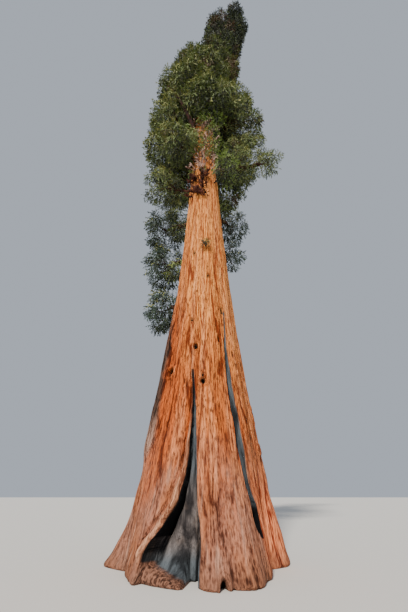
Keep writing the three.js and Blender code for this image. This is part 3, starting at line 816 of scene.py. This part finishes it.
KNOB_HEIGHT = 0.1
KNOBS_ROUND = 7
KNOB_STEPS = 5
RING_DEPTH = 0.06
RING_EVERY = 6
# The limbs' bark is painted dark brown, as painted shade inside the crown.
limb_bark = limb_finish("limb_bark", "1d120c", "553a2c")
limb_roots = []
for name, centre, size, tall in masses:
    if centre[2] >= BOUGH_HIGHEST or "skirt" in name:
        limb_roots.append(stem_middle(min(centre[2] - 0.5 * size, STEM_TOP - 0.5)))
        continue
    root = stem_middle(centre[2] - BOUGH_RISE * size)
    end = centre + (root - centre) * BOUGH_ENTERS * size / np.linalg.norm(centre - root)
    bend = (root + end) / 2 - (0, 0, BOUGH_SAG * size)
    line = bowed(root, bend, end, BOUGH_STEPS)
    thick = max(size, BOUGH_LEAST) * np.linspace(BOUGH_ROOT, BOUGH_TIP, BOUGH_STEPS)
    side, step = np.meshgrid(np.arange(BOUGH_SIDES), np.arange(BOUGH_STEPS))
    knobs = 1 + KNOB_HEIGHT * ripples(side / BOUGH_SIDES * KNOBS_ROUND, step / KNOB_STEPS, KNOBS_ROUND, 60)
    knobs = knobs - RING_DEPTH * (step % RING_EVERY == 0)
    points, triangles = tapered(line, thick[:, None] * knobs, BOUGH_SIDES)
    node = name.replace("foliage", "bough")
    bough = build(node + "_bark", points, triangles, limb_bark)
    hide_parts(node)
    limb_roots.append(line[0, -2])


# Tufts: the foliage of a mass crowds into rounded tufts, set evenly all round it with their middles near its
# outside. A tuft that would leave the mass's space, or stand in the trunk, is drawn in or left out. Where the
# crown is thin, low down and far out at its sides, there are fewer and smaller tufts, and the sky shows.
TUFTS_OVER = 0.46
TUFT_SIZE = 0.76
TUFT_SPREAD = 0.3
TUFT_SCATTER = 0.14
TUFT_REACHES = (1.0, 0.8, 0.6)
THIN_KEEP = 0.46
THIN_SIZE = 0.68
SPACE_SLACK = 0.3
STEM_SLACK = 0.3
GOLDEN_TURN = math.pi * (3 - math.sqrt(5))
TUFT = np.dtype([("mass", int), ("middle", float, 3), ("way", float, 3), ("size", float)])
chance = np.random.default_rng(65)


def spokes(count, spin):
    """Directions spread evenly all round."""
    place = np.arange(count)
    lift = 1 - 2 * (place + 0.5) / count
    angle = spin + place * GOLDEN_TURN
    flat = np.sqrt(1 - lift**2)
    return np.stack([flat * np.cos(angle), flat * np.sin(angle), lift], axis=1)


def in_space(points, mass, sides, slack):
    """Which points keep to a mass's own space and clear of the stem."""
    _, centre, size, tall = mass
    keeps = np.linalg.norm((points - centre) / (1, 1, tall), axis=1) < size + 0.5 * slack
    for *out, offset in sides:
        keeps &= points @ out > offset - slack
    aside = np.linalg.norm((points - stem_middle(points[:, 2]))[:, :2], axis=1)
    return keeps & (aside > stem_radius(np.clip(points[:, 2], 0, STEM_TOP), 0.0) + STEM_SLACK)


def thinness(centre):
    """How thin the crown is at a mass: 1 at its foot and far out at its sides, and 0 in its middle."""
    low = 1 - smooth_step(centre[2], 19, 23)
    side = smooth_step(abs(centre[0]), 2.2, 3.2) * (1 - smooth_step(centre[2], 28, 33))
    return max(low, side)


def grow_tufts(mass):
    """The middles, outward ways and sizes of a mass's tufts."""
    _, centre, size, tall = mass
    sides = space_of(mass)
    thin = thinness(centre)
    tuft = TUFT_SIZE * (1 - (1 - THIN_SIZE) * thin)
    outside = 4 * math.pi * size**2 * tall * (TUFT_SIZE / tuft) ** 2
    ways = spokes(round(TUFTS_OVER * outside * (1 - (1 - THIN_KEEP) * thin)), chance.uniform(0, 6.28))
    ways = unit(ways + chance.normal(0, TUFT_SCATTER, ways.shape))
    sizes = tuft * chance.uniform(1 - TUFT_SPREAD, 1 + TUFT_SPREAD, len(ways))
    middles = np.full_like(ways, np.nan)
    for share in TUFT_REACHES:
        reach = share * (size - 0.95 * sizes) * chance.uniform(0.8, 1.0, len(ways))
        tried = centre + ways * (1, 1, tall) * reach[:, None]
        free = np.isnan(middles[:, 0]) & in_space(tried, mass, sides, 0)
        middles[free] = tried[free]
    kept = ~np.isnan(middles[:, 0])
    return middles[kept], ways[kept], sizes[kept]


# Some small tufts sprout from the trunk itself, given by height, bearing and size. They have no mass.
SPROUT = -1
SPROUTS = [
    (11.7, 2.5, 0.26),
    (11.6, -112, 0.7),
    (14.6, -108, 0.75),
    (16.4, 112, 0.6),
    (18.3, -43, 0.34),
    (18.6, -4, 0.24),
    (20.0, 12, 0.34),
    (20.4, -42, 0.6),
    (20.7, 34, 0.46),
    (21.0, -6, 0.4),
    (21.4, -27, 0.52),
    (21.5, 10, 0.5),
    (21.7, 36, 0.52),
    (22.0, 58, 0.66),
    (22.4, -34, 0.62),
    (22.6, -6, 0.34),
    (23.3, 8, 0.4),
    (24.0, -14, 0.5),
    (23.2, -50, 0.85),
    (23.8, 34, 0.62),
    (24.6, -30, 0.66),
    (25.0, 14, 0.5),
    (25.2, -8, 0.5),
    (25.4, 52, 0.8),
    (26.0, 2, 0.55),
    (26.9, -4, 0.6),
    (26.2, -44, 0.8),
    (26.6, 30, 0.7),
    (27.2, -16, 0.64),
    (28.0, 8, 0.66),
    (28.4, 44, 0.8),
    (29.2, -30, 0.8),
]
SPROUT_OUT = 0.6
# Above them short leafy twigs clothe the leader, which is the stem between the masses: the heights from which
# and to which they grow, how far apart, how far out as a share of the crown's half width, and their size.
LEADER = -2
LEADER_HEIGHTS = (31, 63)
LEADER_LIFT = 0.62
LEADER_OUT = 0.34
LEADER_SIZE = 0.72
tufts = []
for place, mass in enumerate(masses):
    tufts.extend((place, *tuft) for tuft in zip(*grow_tufts(mass)))
for level, at, size in SPROUTS:
    middle = stem_middle(level) + towards(at) * (stem_radius(level, at) + SPROUT_OUT * size)
    tufts.append((SPROUT, middle, towards(at), size))
for turn, level in enumerate(np.arange(*LEADER_HEIGHTS, LEADER_LIFT)):
    way = np.array([math.sin(turn * GOLDEN_TURN), -math.cos(turn * GOLDEN_TURN), 0])
    left, right, front, back = crown_reaches(level)
    out = LEADER_OUT * min(right - left, back - front) / 2 * way
    tufts.append((LEADER, stem_middle(level) + out, way, LEADER_SIZE * chance.uniform(0.8, 1.2)))
tufts = np.array(tufts, TUFT)


# The great limb: a thick old bough, its bark painted near black as shade, that leaves the trunk under the
# crown and slants up to the left across its front. Seen from below, no tuft stands before its middle part.
GREAT_LIMB = [(-0.4, -0.9, 22.6), (-1.1, -2.1, 26.4), (-3.2, -1.8, 32.0)]
GREAT_LIMB_SIZE = (0.2, 0.09)
GREAT_LIMB_MESH = (14, 12)
BARE_STEPS = slice(2, 13)
CLEAR_OF_LIMB = 0.62
CLEAR_BEHIND = 0.3
SEEN_SLOPE = 0.8
for spot in bowed(*GREAT_LIMB, GREAT_LIMB_MESH[0])[0][BARE_STEPS]:
    off = tufts["middle"] - spot
    aside = np.hypot(off[:, 0], off[:, 2] + SEEN_SLOPE * off[:, 1])
    tufts = tufts[(off[:, 1] >= CLEAR_BEHIND) | (aside >= CLEAR_OF_LIMB)]


# Twigs: a mass's limb forks into twigs, one to the middle of each tuft. Sprouts and leafy twigs grow from the
# stem. All of this wood is one piece, and the great limb is another.
TWIG_SIZE = (0.026, 0.01)
TWIG_SAG = 0.1
LIMB_ROOT = 0.06
LIMB_TIP = 0.022
LIMB_SAG = 0.12
FORKS_FROM = 0.4
# Steps along each kind of wood, and sides round it.
LIMB_MESH = (8, 7)
TWIG_MESH = (5, 4)
SHORT_MESH = (4, 4)


class Wood:
    """Tapering limbs and twigs that are joined into one piece."""

    def __init__(self):
        self.points = []
        self.triangles = []

    def grow(self, root, bend, end, thick, thin, steps, sides):
        radii = np.linspace(thick, thin, steps)[:, None]
        points, triangles = tapered(bowed(root, bend, end, steps), radii, sides)
        self.triangles.append(triangles + sum(len(made) for made in self.points))
        self.points.append(points)

    def build(self, name, finish):
        piece = build(name, np.concatenate(self.points), np.concatenate(self.triangles), finish)


crown_wood = Wood()
for place, (name, centre, size, tall) in enumerate(masses):
    middles = tufts["middle"][tufts["mass"] == place]
    root = limb_roots[place]
    bend = (root + centre) / 2 - (0, 0, LIMB_SAG * size)
    crown_wood.grow(root, bend, centre, LIMB_ROOT * size, LIMB_TIP * size, *LIMB_MESH)
    share = chance.uniform(FORKS_FROM, 1.0, len(middles))[:, None]
    forks = root * (1 - share) + centre * share
    bends = (forks + middles) / 2 - (0, 0, TWIG_SAG * size)
    crown_wood.grow(forks, bends, middles, *TWIG_SIZE, *TWIG_MESH)
for level, at, size in SPROUTS:
    root = stem_middle(level - 0.3) + towards(at) * stem_radius(level, at) * 0.9
    end = stem_middle(level) + towards(at) * (stem_radius(level, at) + SPROUT_OUT * size)
    crown_wood.grow(root, (root + end) / 2, end, *TWIG_SIZE, *SHORT_MESH)
for middle in tufts["middle"][tufts["mass"] == LEADER]:
    root = stem_middle(middle[2] - 0.5)
    crown_wood.grow(root, (root + middle) / 2, middle, *TWIG_SIZE, *SHORT_MESH)
crown_wood.build("crown_twigs", limb_bark)

great_limb = Wood()
great_limb.grow(*GREAT_LIMB, *GREAT_LIMB_SIZE, *GREAT_LIMB_MESH)
# The great limb's bark is painted near black, as painted shade.
great_limb.build("great_limb", limb_finish("painted_shade_limb_bark", "120502", "34170c"))


# The dead twigs: bare stubs of shed limbs that stand out of the trunk under the crown, each forked into thin
# broken ends. The upper ones are weathered pale, and the lower ones are dark, matted bunches.
# How many stubs, their least and most height, bearing and length, how many forks each has, and their colours.
STUBS = {
    "pale": (60, (18.3, 25.5), (-58, 50), (0.25, 0.8), 5, ("6b4a3c", "dcbcae")),
    "dark": (26, (16.0, 18.2), (-55, 14), (0.15, 0.45), 16, ("24120e", "6a4136")),
}
STUB_SIZE = 0.045
STUB_SET_IN = 0.08
STUB_TURN = 30
STUB_LIFT = (-0.5, 0.6)
STUB_BEND = (-0.1, 0.02)
STUB_MESH = (5, 6)
# The forks of a stub: from where, how far they spread, how long they are, how they sag, and their ends' size.
FORK_FROM = 0.35
FORK_SPREAD = 0.9
FORK_LENGTH = (0.12, 0.4)
FORK_SAG = 0.04
FORK_END = 0.016


def dead_finish(kind, low, high):
    """Weathered bare wood with dark cracks."""
    finish, shader, start = new_finish("dead_wood_" + kind, 0.85, 0.15)
    weather = start.node("ShaderNodeTexCoord", {}, {}, 3).grain((1, 1, 0.4), 7, 4)
    join(weather.rise(0.38, 0.62).blend(low, high), shader, "Base Color")
    join(weather.bump(0.4, 0.008), shader, "Normal")
    return finish


for kind, (count, heights, bearings, lengths, forked, colours) in STUBS.items():
    dead_wood = Wood()
    for _ in range(count):
        level = chance.uniform(*heights)
        at = chance.uniform(*bearings)
        root = stem_middle(level) + towards(at) * stem_radius(level, at) * (1 - STUB_SET_IN)
        way = unit(towards(at + chance.uniform(-STUB_TURN, STUB_TURN)) + (0, 0, chance.uniform(*STUB_LIFT)))
        end = root + way * (chance.uniform(*lengths) + STUB_SET_IN * stem_radius(level, at))
        bend = (root + end) / 2 + (0, 0, chance.uniform(*STUB_BEND))
        dead_wood.grow(root, bend, end, STUB_SIZE, STUB_SIZE / 2, *STUB_MESH)
        forks = root + (end - root) * chance.uniform(FORK_FROM, 1.0, forked)[:, None]
        spread = unit(way + FORK_SPREAD * chance.normal(0, 1, (forked, 3)))
        ends = forks + spread * chance.uniform(*FORK_LENGTH, forked)[:, None]
        bends = (forks + ends) / 2 - (0, 0, FORK_SAG)
        dead_wood.grow(forks, bends, ends, STUB_SIZE / 2, FORK_END, *SHORT_MESH)
    dead_wood.build(f"dead_twigs_{kind}", dead_finish(kind, *colours))


# The sprays: cords of small scale leaves, forked like a feather, that hang over the tufts like the strands of
# a mop. Each is a chain of pointed blades in their own outline, larger than life, of one plain colour.
SPRAYS_EACH = 110
SPRAY_LENGTH = 0.38
SPRAY_SPREAD = 0.3
SMALLEST_SPRAY = 0.45
# A spray leaves its tuft's middle by chance, drawn to the tuft's own way out and up, and roots in its skin.
DRAWN_OUT = 0.55
DRAWN_UP = 0.2
ROOTS_FROM = 0.1
TUFT_SKIN = 0.88
# It runs partly outwards and partly by chance, and hangs.
RUNS_OUT = 0.45
RUNS_BY_CHANCE = 0.6
SPRAY_HANG = 0.5
FACE_SCATTER = 0.25
# The links of its chain: how much each droops, its length and its width. Lengths are shares of the spray's.
CHAIN = [(0.05, 0.54, 0.18), (0.55, 0.5, 0.16)]
CHAIN_OVERLAP = 1.15
# The blade beside its last link: how far it leans out, its length and its width.
SIDE_BLADE = (0.85, 0.4, 0.14)
BLADES_EACH = len(CHAIN) + 1
BLADE_FOLD = 0.3
PIECE_LIMIT = 190000
BOX_SLACK = 0.2


def blade(root, along, across, proud, length, width):
    """A folded pointed blade: four corners for each spray."""
    middle = root + along * length / 2 - proud * BLADE_FOLD * width
    side = across * width / 2
    return np.stack([root, middle + side, root + along * length, middle - side], axis=1)


# Each spray's tuft, its way out of the tuft and how far out it roots, the corners of its blades, and its tip.
tuft = np.repeat(np.arange(len(tufts)), SPRAYS_EACH)
middle, way, size = tufts["middle"][tuft], tufts["way"][tuft], tufts["size"][tuft, None]
out = unit(chance.normal(0, 1, (len(tuft), 3)) + DRAWN_OUT * way + (0, 0, DRAWN_UP))
length = SPRAY_LENGTH * chance.uniform(1 - SPRAY_SPREAD, 1 + SPRAY_SPREAD, (len(tuft), 1))
length = length * np.maximum(size / TUFT_SIZE, SMALLEST_SPRAY)
far = chance.uniform(ROOTS_FROM, 1, (len(tuft), 1)) ** 0.5
tip = middle + out * size * TUFT_SKIN * far
along = RUNS_OUT * out + RUNS_BY_CHANCE * unit(chance.normal(0, 1, out.shape))
along = unit(along - (0, 0, SPRAY_HANG))
face = unit(out + FACE_SCATTER * chance.normal(0, 1, out.shape))
blades = []
for droop, share, width in CHAIN:
    along = unit(along - (0, 0, droop))
    across = unit(np.cross(along, face))
    proud = np.cross(across, along)
    blades.append(blade(tip, along, across, proud, CHAIN_OVERLAP * share * length, width * length))
    fork = tip
    tip = fork + along * share * length
lean, share, width = SIDE_BLADE
side = unit(along + lean * across)
blades.append(blade(fork, side, np.cross(proud, side), proud, share * length, width * length))
blades = np.stack(blades, axis=1)

# A spray that would reach out of the solids' box or into another mass's space is left out.
low_corner, high_corner = [np.array(corner) / METRE for corner in cad_box]
keeps = np.all((tip > low_corner - BOX_SLACK) & (tip < high_corner + BOX_SLACK), axis=1)
for place, mass in enumerate(masses):
    mine = tufts["mass"][tuft] == place
    keeps[mine] &= in_space(tip[mine], mass, space_of(mass), SPACE_SLACK)
tuft, out, far, blades = tuft[keeps], out[keeps], far[keeps, 0], blades[keeps]


# The greens, dealt out by spray, are painted light and shade. A spray's painted light comes from how far it
# faces up and out of its tuft, how far out it is, and chance, and deep in its tuft it is darker. The crown's
# head and what hangs low get painted shade, and the head is browner; what hangs low behind the trunk gets a
# bluer painted shade, and one skirt and the sprouts are fresh.
GREENS = {
    "sunlit": "a6a65f",
    "olive": "808343",
    "leaf": "647437",
    "shade": "263119",
    "blue": "314434",
    "fresh": "78903c",
    "brown": "5d4629",
}
LIGHT_FROM = {"sunlit": 0.72, "olive": 0.56, "leaf": 0.38}
LIGHT_UP, LIGHT_OUT = 0.4, 0.18
LIGHT_OF_TUFT, LIGHT_OF_SPRAY = 0.16, 0.3
LIGHT_INSIDE = 0.35
HEAD_HEIGHTS = (34, 56)
HEAD_SHADE = 0.27
LOW_HEIGHTS = (17, 19)
LOW_SHADE = 0.1
BLUE_LIGHT = (0.3, 0.6)
FRESH_MASS = "foliage_skirt_front_right"
FRESH_FROM = 17
FRESH_LIGHT = 0.4
AGED_FROM = (19, 22)
AGED_SHARE, AGED_IN_HEAD = 0.07, 0.08
AGED_LIGHT = 0.5
mass = tufts["mass"][tuft]
level = tufts["middle"][tuft, 2]
tuft_tone = chance.uniform(0, 1, len(tufts))[tuft]
outward = 0.5 + 0.5 * np.einsum("sd,sd->s", out, tufts["way"][tuft])
light = LIGHT_UP * (0.5 + 0.5 * out[:, 2]) + LIGHT_OUT * outward + LIGHT_OF_TUFT * tuft_tone
light = light + LIGHT_OF_SPRAY * chance.uniform(0, 1, len(tuft))
light = light * (LIGHT_INSIDE + (1 - LIGHT_INSIDE) * far)
light = light - HEAD_SHADE * smooth_step(level, *HEAD_HEIGHTS)
light = light - LOW_SHADE * smooth_fall(level, *LOW_HEIGHTS)
greens = np.select([light > least for least in LIGHT_FROM.values()], list(LIGHT_FROM), "shade")
behind = [place for place, (_, at, *_) in enumerate(masses) if at[2] < LOW_HEIGHTS[1] and at[1] > 0]
# What hangs low behind the trunk gets a bluer green, as painted shade.
blue = np.isin(mass, behind) & (light > BLUE_LIGHT[0]) & (light < BLUE_LIGHT[1])
fresh_mass = [name for name, *_ in masses].index(FRESH_MASS)
fresh = (mass == fresh_mass) | (mass == SPROUT) & (level > FRESH_FROM)
tuft_level = tufts["middle"][:, 2]
aged_share = AGED_SHARE * smooth_step(tuft_level, *AGED_FROM)
aged_share = aged_share + AGED_IN_HEAD * smooth_step(tuft_level, *HEAD_HEIGHTS)
aged = (chance.uniform(0, 1, len(tufts)) < aged_share)[tuft]
greens[blue] = "blue"
greens[fresh & (light > FRESH_LIGHT)] = "fresh"
greens[aged & (light < AGED_LIGHT)] = "brown"


def leaf_finish(kind, code):
    """Matte, faintly waxy leaves of one plain colour."""
    finish, shader, _ = new_finish("leaves_" + kind, 0.62, 0.3)
    shader.inputs["Base Color"].default_value = tint(code)
    shader.inputs["Sheen Weight"].default_value = 0.15
    return finish


most = PIECE_LIMIT // (2 * BLADES_EACH)
for kind, code in GREENS.items():
    finish = leaf_finish(kind, code)
    chosen = np.flatnonzero(greens == kind)
    for part, first in enumerate(range(0, len(chosen), most)):
        mine = chosen[first : first + most]
        corners = 4 * np.arange(BLADES_EACH * len(mine))[:, None, None]
        triangles = (corners + [(0, 2, 1), (0, 3, 2)]).reshape(-1, 3)
        name = f"sprays_{kind}_{part + 1}"
        piece = build(name, blades[mine].reshape(-1, 3), triangles, finish, smooth=False)
        grown = set(tufts["mass"][tuft[mine]]) - {SPROUT, LEADER}
        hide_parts(*sorted(masses[place][0] for place in grown))


# The sizes of the solids and of the finished tree, side by side.
boxes = {"cad": cad_box, "visual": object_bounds()}
{name: [list(map(float, corner)) for corner in box] for name, box in boxes.items()}
